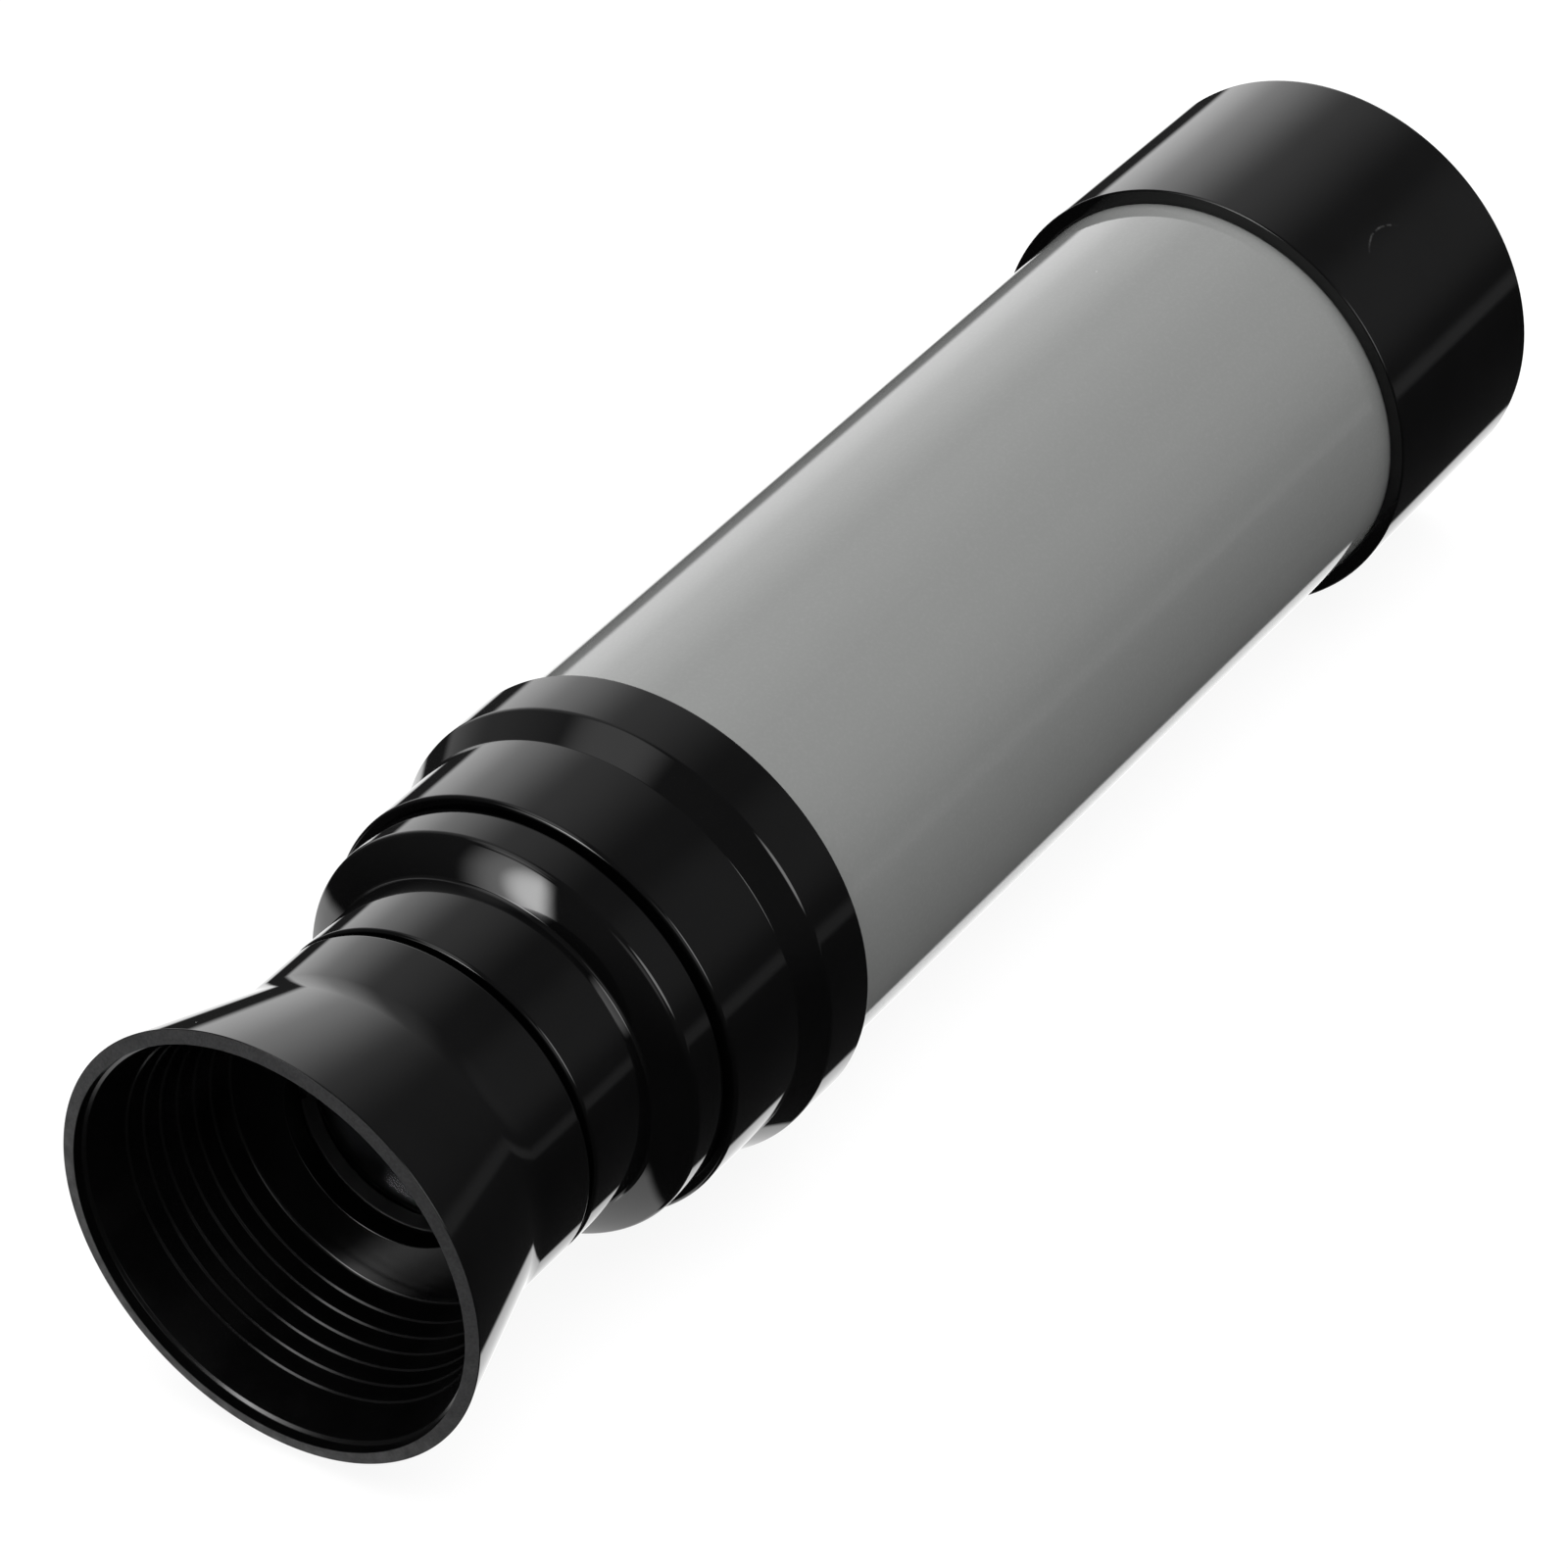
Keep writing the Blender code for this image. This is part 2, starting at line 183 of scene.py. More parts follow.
def cut_slots(ring, station, inner, outer, width=1.4, depth=0.8):
    """Two slots across a ring's face, for the key that screws it in."""
    length = outer - inner + 2.0   # runs past the ring's bore and rim
    for angle in (0.0, math.pi):
        cutter_mesh = bpy.data.meshes.new("slot_cutter")
        shape = bmesh.new()
        bmesh.ops.create_cube(shape, size=1.0)
        sizes = Matrix.Diagonal((2 * depth * MM, length * MM, width * MM, 1.0))
        place = Matrix.Translation((station * MM, (outer + inner) / 2 * MM, 0.0))
        bmesh.ops.transform(shape, matrix=Matrix.Rotation(angle, 4, "X") @ place @ sizes, verts=shape.verts)
        shape.to_mesh(cutter_mesh)
        shape.free()
        cutter = add_object("slot_cutter", cutter_mesh)
        cutter.location = AXIS
        cut = ring.modifiers.new("slot", "BOOLEAN")
        cut.object = cutter
        bpy.context.view_layer.update()
        evaluated = ring.evaluated_get(bpy.context.evaluated_depsgraph_get())
        ring.data = bpy.data.meshes.new_from_object(evaluated)
        ring.modifiers.clear()
        bpy.data.objects.remove(cutter)
    ring.data.shade_smooth()
    ring.data.set_sharp_from_angle(angle=math.radians(30))


# ---- materials ----

class Finish:
    """A procedural material. Its patterns are laid out in the piece's own coordinates, in metres."""

    def __init__(self, name, colour, roughness, **sockets):
        self.material = bpy.data.materials.new(name)
        self.material.use_nodes = True
        self.tree = self.material.node_tree
        self.shader = self.tree.nodes["Principled BSDF"]
        self.place = self.add("ShaderNodeTexCoord").outputs["Object"]
        self.colour = colour
        self.shader.inputs["Base Color"].default_value = (*colour, 1.0)
        self.shader.inputs["Roughness"].default_value = roughness
        for socket, value in sockets.items():
            self.shader.inputs[socket.replace("_", " ")].default_value = value

    def add(self, kind, inputs=None, **settings):
        return add_node(self.tree, kind, inputs, **settings)

    def scaled(self, size, stretch=(1.0, 1.0, 1.0)):
        """Coordinates in which a feature is size mm, or stretch times that along each axis."""
        factors = [1.0 / (size * MM * s) for s in stretch]
        inputs = {0: self.place, 1: factors}
        return self.add("ShaderNodeVectorMath", inputs, operation="MULTIPLY").outputs[0]

    def noise(self, size, detail=2.0, stretch=(1.0, 1.0, 1.0)):
        inputs = {"Vector": self.scaled(size, stretch), "Scale": 1.0, "Detail": detail}
        return self.add("ShaderNodeTexNoise", inputs).outputs["Fac"]

    def math(self, operation, a, b=0.0):
        return self.add("ShaderNodeMath", {0: a, 1: b}, operation=operation).outputs[0]

    def ranged(self, value, low, high, to_low=0.0, to_high=1.0):
        inputs = {"Value": value, "From Min": low, "From Max": high, "To Min": to_low, "To Max": to_high}
        return self.add("ShaderNodeMapRange", inputs).outputs[0]

    def specks(self, spacing, radius, share):
        """Dots of radius mm, about one to every spacing mm where the share lets them be."""
        inputs = {"Vector": self.scaled(spacing), "Scale": 1.0}
        cells = self.add("ShaderNodeTexVoronoi", inputs)
        edge = radius / spacing
        dot = self.ranged(cells.outputs["Distance"], 0.6 * edge, edge, 1.0, 0.0)
        drawn = self.add("ShaderNodeSeparateColor", {0: cells.outputs["Color"]}).outputs[0]
        return self.math("MULTIPLY", dot, self.math("LESS_THAN", drawn, share))

    def hairlines(self, size, width, share):
        """Thin curved scratches: the middle line of a noise, where a second noise lets them be."""
        bend = self.noise(size, 1.0)
        line = self.ranged(self.math("ABSOLUTE", self.math("SUBTRACT", bend, 0.5)), 0.0, width, 1.0, 0.0)
        patch = self.ranged(self.noise(size * 0.45, 1.0), 0.72 - share, 0.76 - share)
        return self.math("MULTIPLY", line, patch)

    def scuff(self, station, angle, radius, size, width):
        """A short arc on a turned surface, where a sphere of size mm about a point on it cuts it: only the
        stretch on the side of smaller angles, and broken up by noise."""
        a = math.radians(angle)
        middle = Vector((station, radius * math.cos(a), radius * math.sin(a))) * MM
        away = self.add("ShaderNodeVectorMath", {0: self.place, 1: middle}, operation="SUBTRACT").outputs[0]
        reach = self.add("ShaderNodeVectorMath", {0: away}, operation="LENGTH").outputs["Value"]
        off = self.math("ABSOLUTE", self.math("SUBTRACT", reach, size * MM))
        line = self.ranged(off, 0.0, width * MM, 1.0, 0.0)
        backwards = Vector((0.0, math.sin(a), -math.cos(a)))
        inputs = {0: away, 1: backwards}
        side = self.add("ShaderNodeVectorMath", inputs, operation="DOT_PRODUCT").outputs["Value"]
        part = self.ranged(side, 0.7 * size * MM, 0.85 * size * MM)
        worn = self.ranged(self.noise(0.8, 2.0), 0.4, 0.65)
        return self.math("MULTIPLY", self.math("MULTIPLY", line, part), worn)

    def total(self, *patterns):
        result = patterns[0]
        for pattern in patterns[1:]:
            result = self.math("ADD", result, pattern)
        return result

    def weighted(self, pattern, weight):
        return self.math("MULTIPLY", pattern, weight)

    def tint(self, pattern, other, low=0.0, high=1.0):
        """Mixes the base colour towards another by a pattern. Inputs 6 and 7 and output 2 of the Mix node
        are its colour sockets."""
        factor = self.ranged(pattern, low, high)
        mix = self.add("ShaderNodeMix", {0: factor, 7: (*other, 1.0)}, data_type="RGBA")
        linked = self.shader.inputs["Base Color"].links
        if linked:
            self.tree.links.new(linked[0].from_socket, mix.inputs[6])
        else:
            mix.inputs[6].default_value = (*self.colour, 1.0)
        self.tree.links.new(mix.outputs[2], self.shader.inputs["Base Color"])

    def rough(self, pattern, low, high, at=(0.3, 0.7)):
        """Roughness from low to high as the pattern goes from one value of at to the other."""
        self.tree.links.new(self.ranged(pattern, *at, low, high), self.shader.inputs["Roughness"])

    def relief(self, pattern, height):
        """Bump: the pattern from 0 to 1 stands for height mm."""
        bump = self.add("ShaderNodeBump", {"Height": pattern, "Distance": height * MM, "Strength": 1.0})
        linked = self.shader.inputs["Normal"].links
        if linked:
            self.tree.links.new(linked[0].from_socket, bump.inputs["Normal"])
        self.tree.links.new(bump.outputs[0], self.shader.inputs["Normal"])


def gloss_black():
    """Polished black moulding with faint orange peel, a few hairline scratches and dust."""
    look = Finish("gloss_black", (0.0012, 0.0012, 0.0013), 0.1)
    dust = look.specks(4.5, 0.08, 0.5)
    hood_scuff = look.scuff(station=153.5, angle=135.8, radius=21.3, size=4.0, width=0.15)
    scratches = look.total(look.hairlines(26.0, 0.0035, 0.0), hood_scuff)
    look.tint(look.noise(9.0, 3.0), (0.0022, 0.0022, 0.0024), 0.35, 0.7)
    look.tint(look.total(dust, look.weighted(scratches, 0.35)), (0.16, 0.16, 0.16))
    uneven = look.total(look.noise(14.0, 3.0), look.weighted(dust, 2.0), look.weighted(scratches, 1.2))
    look.rough(uneven, 0.03, 0.06)
    look.relief(look.noise(1.6), 0.0007)
    look.relief(look.total(scratches, look.weighted(dust, 3.0)), 0.006)
    return look.material


def moulded_edge():
    """The eyecup's cut rim: matt black with a fine grain."""
    look = Finish("moulded_edge", (0.02, 0.02, 0.0206), 0.62)
    grain = look.noise(0.22, 3.0)
    look.tint(grain, (0.042, 0.042, 0.0435), 0.35, 0.75)
    look.rough(look.noise(1.2, 2.0), 0.5, 0.7)
    look.relief(grain, 0.018)
    return look.material


def inner_black():
    """Inside of the eyecup and the hood: black, less polished than the outside."""
    look = Finish("inner_black", (0.0016, 0.0016, 0.0017), 0.2)
    look.tint(look.specks(6.0, 0.07, 0.3), (0.1, 0.1, 0.1))
    look.tint(look.noise(6.0, 3.0), (0.003, 0.003, 0.0032), 0.35, 0.7)
    look.rough(look.noise(4.0, 3.0), 0.15, 0.24)
    look.relief(look.noise(0.5, 2.0), 0.0015)
    return look.material


def gloss_grey():
    """Glossy grey barrel: faint lengthwise shading, fine grain and a few specks."""
    look = Finish("gloss_grey", (0.253, 0.258, 0.253), 0.06, IOR=1.62)
    streaks = look.noise(1.1, 3.0, (60.0, 1.0, 1.0))
    look.tint(streaks, (0.249, 0.253, 0.249), 0.3, 0.7)
    look.tint(look.noise(0.3, 2.0), (0.267, 0.272, 0.267), 0.45, 0.8)
    look.tint(look.specks(8.0, 0.09, 0.35), (0.5, 0.5, 0.5))
    scratches = look.hairlines(34.0, 0.0025, -0.02)
    look.rough(look.total(look.noise(18.0, 3.0), look.weighted(scratches, 0.8)), 0.04, 0.07)
    look.relief(look.noise(1.3), 0.0005)
    look.relief(scratches, 0.003)
    return look.material


def black_tube():
    """Black anodised tube: satin, drawn lengthwise, with the fine wear of sliding."""
    look = Finish("black_tube", (0.009, 0.009, 0.0098), 0.25)
    drawn = look.noise(0.16, 2.0, (200.0, 1.0, 1.0))
    wear = look.noise(3.0, 2.0, (25.0, 1.0, 1.0))
    look.tint(drawn, (0.0125, 0.0125, 0.0135), 0.35, 0.75)
    look.tint(wear, (0.02, 0.02, 0.021), 0.6, 0.9)
    look.tint(look.specks(7.0, 0.07, 0.3), (0.12, 0.12, 0.12))
    look.rough(look.total(drawn, look.weighted(wear, 0.5)), 0.2, 0.28, (0.5, 1.0))
    look.relief(drawn, 0.0004)
    return look.material


def matt_black():
    """Blackened fittings: matt, slightly mottled, with fine turning marks."""
    look = Finish("matt_black", (0.006, 0.006, 0.0063), 0.6)
    look.tint(look.noise(1.5, 3.0), (0.013, 0.013, 0.0136), 0.35, 0.75)
    turning = look.noise(0.2, 2.0, (1.0, 60.0, 60.0))
    look.rough(look.noise(3.0, 2.0), 0.48, 0.68)
    look.relief(turning, 0.003)
    look.relief(look.noise(0.25, 2.0), 0.004)
    return look.material


def felt():
    """Pressed black felt: short fibres that catch the light."""
    look = Finish("felt", (0.016, 0.016, 0.017), 0.95, Sheen_Weight=0.35)
    fibres = look.total(look.noise(0.12, 3.0, (5.0, 1.0, 1.0)), look.noise(0.12, 3.0, (1.0, 4.0, 4.0)))
    look.tint(fibres, (0.055, 0.055, 0.058), 0.85, 1.3)
    look.rough(fibres, 0.85, 1.0, (0.7, 1.3))
    look.relief(fibres, 0.05)
    return look.material


def nylon():
    """Natural nylon: milky, slightly waxy."""
    look = Finish("nylon", (0.62, 0.61, 0.57), 0.4, Subsurface_Weight=0.15)
    look.shader.inputs["Subsurface Radius"].default_value = (0.002, 0.0018, 0.0015)
    look.tint(look.noise(2.5, 3.0), (0.54, 0.53, 0.48), 0.35, 0.75)
    look.rough(look.noise(1.2, 2.0), 0.32, 0.48)
    look.relief(look.noise(0.3, 2.0, (1.0, 8.0, 8.0)), 0.003)
    return look.material


def lens_glass():
    """Polished glass with an anti-reflection coat, and the faintest smear."""
    look = Finish("lens_glass", (0.99, 1.0, 0.995), 0.0, IOR=1.52, Transmission_Weight=1.0)
    look.shader.inputs["Specular Tint"].default_value = (0.09, 0.09, 0.1, 1.0)   # the coat
    look.tint(look.noise(5.0, 2.0), (0.97, 0.99, 0.98), 0.4, 0.8)
    look.rough(look.noise(4.0, 3.0), 0.0, 0.025, (0.45, 0.75))
    return look.material


def ground_edge():
    """The lenses' ground and blackened edges."""
    look = Finish("ground_edge", (0.03, 0.03, 0.031), 0.8)
    look.tint(look.noise(0.3, 3.0), (0.06, 0.06, 0.062), 0.4, 0.7)
    look.relief(look.noise(0.15, 2.0), 0.01)
    return look.material


LOOKS = {make.__name__: make() for make in (
    gloss_black, gloss_grey, black_tube, matt_black, felt, nylon, lens_glass,
    moulded_edge, inner_black, ground_edge)}


def fit_piece(piece, node, **patches):
    """Gives a piece its node's body, slot and finish. A patch is a second finish for the faces whose
    middle (station, radius) its test accepts."""
    slot = SLOT_OF[node]
    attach(piece, BODY_OF[node])
    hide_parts(node)
    piece.data.materials.clear()
    piece.data.materials.append(LOOKS[slot])
    for name, test in patches.items():
        piece.data.materials.append(LOOKS[name])
        index = len(piece.data.materials) - 1
        for face in piece.data.polygons:
            station = face.center.x / MM
            radius = math.hypot(face.center.y, face.center.z) / MM
            if test(station, radius):
                face.material_index = index
    return piece


# ---- the barrel and what is fixed to it ----

BARREL_REAR, BARREL_FRONT, BARREL_RADIUS = span("main_barrel")
COLLAR_1_REAR, COLLAR_1_FRONT, BAND_RADIUS = span("rear_collar")
HOOD_REAR, HOOD_FRONT, HOOD_RADIUS = span("objective_hood")
COLLAR_2_REAR, COLLAR_2_FRONT, BAND_2_RADIUS = span("draw_collar")
TUBE_1_REAR, _, RIB_1_RADIUS = span("draw_tube_1")
TUBE_2_REAR, _, RIB_2_RADIUS = span("draw_tube_2")
RIB_HEIGHT = 0.9
RIB_LENGTH = 1.1
RIB_TO_FRONT = 6.1   # from the rib's rear face to the tube's front end
TUBE_1_RADIUS = RIB_1_RADIUS - RIB_HEIGHT
TUBE_2_RADIUS = RIB_2_RADIUS - RIB_HEIGHT
TUBE_WALL = 0.9
BARREL_WALL = 1.2
SLIDE_GAP = 0.3   # between pieces that slide
_, CUP_FRONT, CUP_RADIUS = span("eyecup")
CUP_CREASE = 14.0   # station where the eyecup's cylinder turns into its cone
NECK_2_RADIUS = 15.92


def main_barrel():
    edge = 0.2
    outline = sleeve(BARREL_REAR, BARREL_FRONT, BARREL_RADIUS - BARREL_WALL, BARREL_RADIUS, edge)
    return fit_piece(lathe("barrel_tube", outline), "main_barrel")


def rear_collar():
    """The barrel's rear cap: neck, soft-edged shoulder and band, with a groove for the felt inside."""
    bore = TUBE_1_RADIUS + SLIDE_GAP
    neck = BARREL_RADIUS
    band_rear = COLLAR_1_REAR + 11.8
    neck_base = band_rear - 2.7
    band_front = COLLAR_1_REAR + 17.4
    liner_rear, liner_front, liner_outer = span("rear_collar_liner")
    skirt = BARREL_RADIUS + FIT
    spigot = BARREL_RADIUS - BARREL_WALL - FIT
    outline = [
        (COLLAR_1_REAR, bore, 0.25), (liner_rear, bore), (liner_rear, liner_outer + FIT),
        (liner_front, liner_outer + FIT), (liner_front, bore), (COLLAR_1_FRONT, bore, 0.3),
        (COLLAR_1_FRONT, spigot, 0.3), (BARREL_REAR - FIT, spigot), (BARREL_REAR - FIT, skirt),
        (band_front, skirt, 0.15), (band_front, BAND_RADIUS, 0.2), (band_rear, BAND_RADIUS, 0.9),
        (neck_base, neck, 0.2), (COLLAR_1_REAR, neck, 0.35),
    ]
    return fit_piece(lathe("rear_collar_moulding", outline), "rear_collar")


def objective_hood():
    """The front cap, with a stepped, ridged mouth that keeps stray light off the glass."""
    skirt_bore = BARREL_RADIUS + FIT
    cell_front, cell_radius = span("objective_cell")[1:]
    cell_bore = cell_radius + FIT
    front_radius = HOOD_RADIUS - 0.3
    throat = 18.0
    mouth = 19.5
    throat_front = cell_front + 1.2
    ridges = 6
    pitch = (HOOD_FRONT - 1.0 - throat_front) / ridges
    rise = (mouth - throat) / ridges
    outline = [(HOOD_REAR, skirt_bore, 0.2), (BARREL_FRONT + FIT, skirt_bore),
               (BARREL_FRONT + FIT, cell_bore), (cell_front + FIT, cell_bore), (cell_front + FIT, throat)]
    for i in range(ridges):
        step = throat_front + i * pitch
        outline += [(step, throat + i * rise, 0.1), (step, throat + (i + 1) * rise, 0.08)]
    outline += [(HOOD_FRONT, mouth, 0.2), (HOOD_FRONT, front_radius, 0.55), (HOOD_REAR, HOOD_RADIUS, 0.16)]
    piece = lathe("hood_moulding", outline)
    inside_rear = 150.0   # the finish inside the hood starts there, in front of the cell
    return fit_piece(piece, "objective_hood", inner_black=lambda s, r: r < mouth - 0.2 and s > inside_rear)


def objective_parts():
    rear, front, outer = span("objective_cell")
    lip = 15.0
    bore = span("objective_retaining_ring")[2] + FIT
    seat = span("objective_flint_lens")[0] - 0.4
    outline = [(rear, lip), (seat, lip), (seat, bore), (front, bore), (front, outer), (rear, outer)]
    fit_piece(lathe("lens_cell", outline), "objective_cell")
    ring_rear, ring_front, ring_outer = span("objective_retaining_ring")
    ring_inner = 15.2
    outline = [(ring_rear, ring_inner, 0.2), (ring_front, ring_inner, 0.4), (ring_front, ring_outer, 0.15),
               (ring_rear, ring_outer)]
    ring = lathe("lens_ring", outline)
    cut_slots(ring, ring_front, ring_inner, ring_outer)
    fit_piece(ring, "objective_retaining_ring")


# ---- the draws ----

def draw_tube(node, name, radius):
    """A drawn tube with the rib that stops it from being pulled out."""
    rear, front, rib_radius = span(node)
    rib_rear = front - RIB_TO_FRONT
    rib_front = rib_rear + RIB_LENGTH
    inner = radius - TUBE_WALL
    outline = [
        (rear, inner, 0.25), (front, inner, 0.25), (front, radius, 0.25), (rib_front, radius),
        (rib_front, rib_radius, 0.2), (rib_rear, rib_radius, 0.2), (rib_rear, radius), (rear, radius, 0.25),
    ]
    return fit_piece(lathe(name, outline), node)


def plain_ring(node, name, wall, edge=EDGE):
    rear, front, outer = span(node)
    return fit_piece(lathe(name, sleeve(rear, front, outer - wall, outer, edge)), node)


def baffle():
    rear, front, flange_radius = span("draw_1_baffle")
    plug_radius = TUBE_1_RADIUS - TUBE_WALL - FIT
    plug_bore = plug_radius - 1.0
    hole = 13.4
    flange_rear = front - 1.2
    outline = [
        (rear, plug_bore), (flange_rear, plug_bore, 0.4), (flange_rear, hole, 0.1),
        (front, hole + 0.5, 0.1), (front, flange_radius, 0.25), (flange_rear, flange_radius, 0.2),
        (flange_rear, plug_radius), (rear, plug_radius, 0.3),
    ]
    return fit_piece(lathe("light_baffle", outline), "draw_1_baffle")


def draw_collar():
    """Cap on draw tube 1: neck, steep soft shoulder and band."""
    bore = TUBE_2_RADIUS + SLIDE_GAP
    neck = NECK_2_RADIUS
    neck_base = COLLAR_2_REAR + 8.0
    band_rear = COLLAR_2_REAR + 9.8
    middle = (neck_base + band_rear) / 2 - 0.1   # of the shoulder
    bulge = 0.14
    band_front = COLLAR_2_REAR + 13.6
    seat_radius = TUBE_1_RADIUS + FIT
    spigot = TUBE_1_RADIUS - TUBE_WALL - FIT
    liner_rear, liner_front, liner_outer = span("draw_collar_liner")
    outline = [
        (COLLAR_2_REAR, bore, 0.2), (liner_rear, bore), (liner_rear, liner_outer + FIT),
        (liner_front, liner_outer + FIT), (liner_front, bore), (COLLAR_2_FRONT, bore, 0.25),
        (COLLAR_2_FRONT, spigot, 0.25), (TUBE_1_REAR - FIT, spigot), (TUBE_1_REAR - FIT, seat_radius),
        (band_front, seat_radius, 0.2), (band_front, BAND_2_RADIUS, 0.25), (band_rear, BAND_2_RADIUS, 0.7),
        (middle, (neck + BAND_2_RADIUS) / 2 + bulge), (neck_base, neck, 0.4),
        (COLLAR_2_REAR, neck, 0.35),
    ]
    return fit_piece(lathe("draw_collar_moulding", outline), "draw_collar")


def cup_radius(station):
    """The eyecup's outer radius: a cylinder that opens into a cone towards the rim."""
    spread = max(0.0, 1 - station / CUP_CREASE)
    return NECK_2_RADIUS + (CUP_RADIUS - NECK_2_RADIUS) * spread


def eyecup():
    """Eye shade: thin matt rim, a lip inside it, fine ridges, and a floor with the eye hole."""
    inside_rim = CUP_RADIUS - 1.25
    rim_slope = 0.25
    floor_rear = 15.0
    floor_radius = 14.8
    hole = 9.6
    socket = TUBE_2_RADIUS + FIT
    socket_rear = TUBE_2_REAR - SLIDE_GAP
    ledge = 12.85
    floor_front = 16.9
    lip = 1.1
    cone_start = inside_rim - 0.4
    first_ridge = 5.0
    pitch = 1.62
    ridges = 6
    ridge_height = 0.15
    ridge_half = 0.15
    ridge_edge = 0.05

    def cone(station):
        return cone_start + (floor_radius - cone_start) * (station - lip) / (floor_rear - lip)

    outline = [(0, inside_rim, 0.05), (lip - 0.2, inside_rim - 0.1, 0.1), (lip, cone_start, 0.08)]
    for i in range(ridges):
        middle = first_ridge + i * pitch
        outline += [(middle - ridge_half, cone(middle - ridge_half), ridge_edge),
                    (middle, cone(middle) - ridge_height, ridge_edge),
                    (middle + ridge_half, cone(middle + ridge_half), ridge_edge)]
    outline += [
        (floor_rear, floor_radius, 0.35), (floor_rear + 0.25, hole, 0.12), (floor_front, hole - 0.3, 0.1),
        (floor_front, ledge), (socket_rear, ledge), (socket_rear, socket), (CUP_FRONT, socket, 0.2),
        (CUP_FRONT, NECK_2_RADIUS, 0.3), (CUP_CREASE, NECK_2_RADIUS, 8.0), (rim_slope, CUP_RADIUS, 0.1),
    ]
    piece = lathe("eyecup_moulding", outline, segments=2 * SEGMENTS)
    inside_front = 18.0   # the finish inside the eyecup ends there
    half_wall = 0.6
    outer_edge = CUP_RADIUS - 0.06
    return fit_piece(
        piece, "eyecup",
        inner_black=lambda s, r: rim_slope < s < inside_front and r < cup_radius(s) - half_wall,
        moulded_edge=lambda s, r: s < rim_slope and inside_rim < r < outer_edge)


def eyepiece():
    rear, front, outer = span("eyepiece_barrel")
    lip = 1.2
    lip_radius = 9.5
    bore = span("eyepiece_spacer")[2] + FIT
    outline = [(rear, bore, 0.2), (front - lip, bore), (front - lip, lip_radius), (front, lip_radius, 0.2),
               (front, outer, 0.3), (rear, outer, 0.3)]
    fit_piece(lathe("eyepiece_tube", outline), "eyepiece_barrel")
    ring_rear, ring_front, ring_outer = span("eye_lens_ring")
    ring_inner = 8.8
    outline = [(ring_rear, ring_inner + 0.5, 0.2), (ring_front, ring_inner, 0.1), (ring_front, ring_outer),
               (ring_rear, ring_outer, 0.15)]
    ring = lathe("eye_ring", outline)
    cut_slots(ring, ring_rear, ring_inner, ring_outer, depth=0.5)
    fit_piece(ring, "eye_lens_ring")
    plain_ring("eyepiece_spacer", "eyepiece_spacer_tube", 0.8)
    stop_rear, stop_front, stop_outer = span("field_stop")
    stop_hole = 7.0
    outline = [(stop_rear, stop_hole + 0.5, 0.1), (stop_front, stop_hole, 0.05), (stop_front, stop_outer),
               (stop_rear, stop_outer)]
    fit_piece(lathe("field_stop_plate", outline), "field_stop")


def erector():
    rear, front, flange_radius = span("erector_tube")
    outer = TUBE_2_RADIUS - TUBE_WALL - FIT
    bore = span("erector_spacer")[2] + FIT
    wall = 1.2   # of the flange and of the rear end
    lip = 9.0
    outline = [
        (rear, lip, 0.2), (rear + wall, lip), (rear + wall, bore), (front, bore, 0.2),
        (front, flange_radius, 0.25), (front - wall, flange_radius, 0.2), (front - wall, outer),
        (rear, outer, 0.3),
    ]
    fit_piece(lathe("erector_barrel", outline), "erector_tube")
    plain_ring("erector_spacer", "erector_spacer_tube", 0.8)
    ring_rear, ring_front, ring_outer = span("erector_retaining_ring")
    ring_inner = 9.0
    ring = lathe("erector_ring", [(ring_rear, ring_inner, 0.2), (ring_front, ring_inner, 0.4),
                                  (ring_front, ring_outer, 0.15), (ring_rear, ring_outer)])
    cut_slots(ring, ring_front, ring_inner, ring_outer)
    fit_piece(ring, "erector_retaining_ring")


def lens(node, name, rear_height, front_height):
    """A lens whose faces stand out towards the front by these heights at the middle."""
    low_station, high_station, radius = span(node)
    rear = low_station - min(0.0, rear_height)
    front = high_station - max(0.0, front_height)
    front_face = dome(front, radius, front_height)
    rear_face = dome(rear, radius, rear_height)
    bevel = 0.12
    outline = front_face[:-1] + [(front, radius, bevel), (rear, radius, bevel)] + rear_face[-2::-1]
    piece = lathe(name, outline, closed=False)
    return fit_piece(piece, node, ground_edge=lambda s, r: r > radius - 0.02)


def build():
    main_barrel()
    rear_collar()
    plain_ring("rear_collar_liner", "rear_felt", 1.0)
    objective_hood()
    objective_parts()
    lens("objective_flint_lens", "flint_lens", 0.4, -1.7)
    lens("objective_crown_lens", "crown_lens", -1.7, 1.7)
    draw_tube("draw_tube_1", "draw_tube_large", TUBE_1_RADIUS)
    plain_ring("draw_1_guide_bush", "guide_bush_large", 1.2, 0.3)
    baffle()
    draw_collar()
    plain_ring("draw_collar_liner", "draw_felt", 0.8)
    draw_tube("draw_tube_2", "draw_tube_small", TUBE_2_RADIUS)
    plain_ring("draw_2_guide_bush", "guide_bush_small", 1.7, 0.3)
    erector()
    lens("erector_rear_lens", "erector_lens_rear", 0.0, 1.5)
    lens("erector_front_lens", "erector_lens_front", -1.5, 0.0)
    eyecup()
    eyepiece()
    lens("eye_lens", "eye_lens_glass", 0.0, 1.9)
    lens("field_lens", "field_lens_glass", 0.0, 1.0)


# ---- floor, camera and light ----

def direction(azimuth, elevation):
    """Unit vector: azimuth from +X towards +Y, in degrees."""
    a = math.radians(azimuth)
    e = math.radians(elevation)
    return Vector((math.cos(a) * math.cos(e), math.sin(a) * math.cos(e), math.sin(e)))


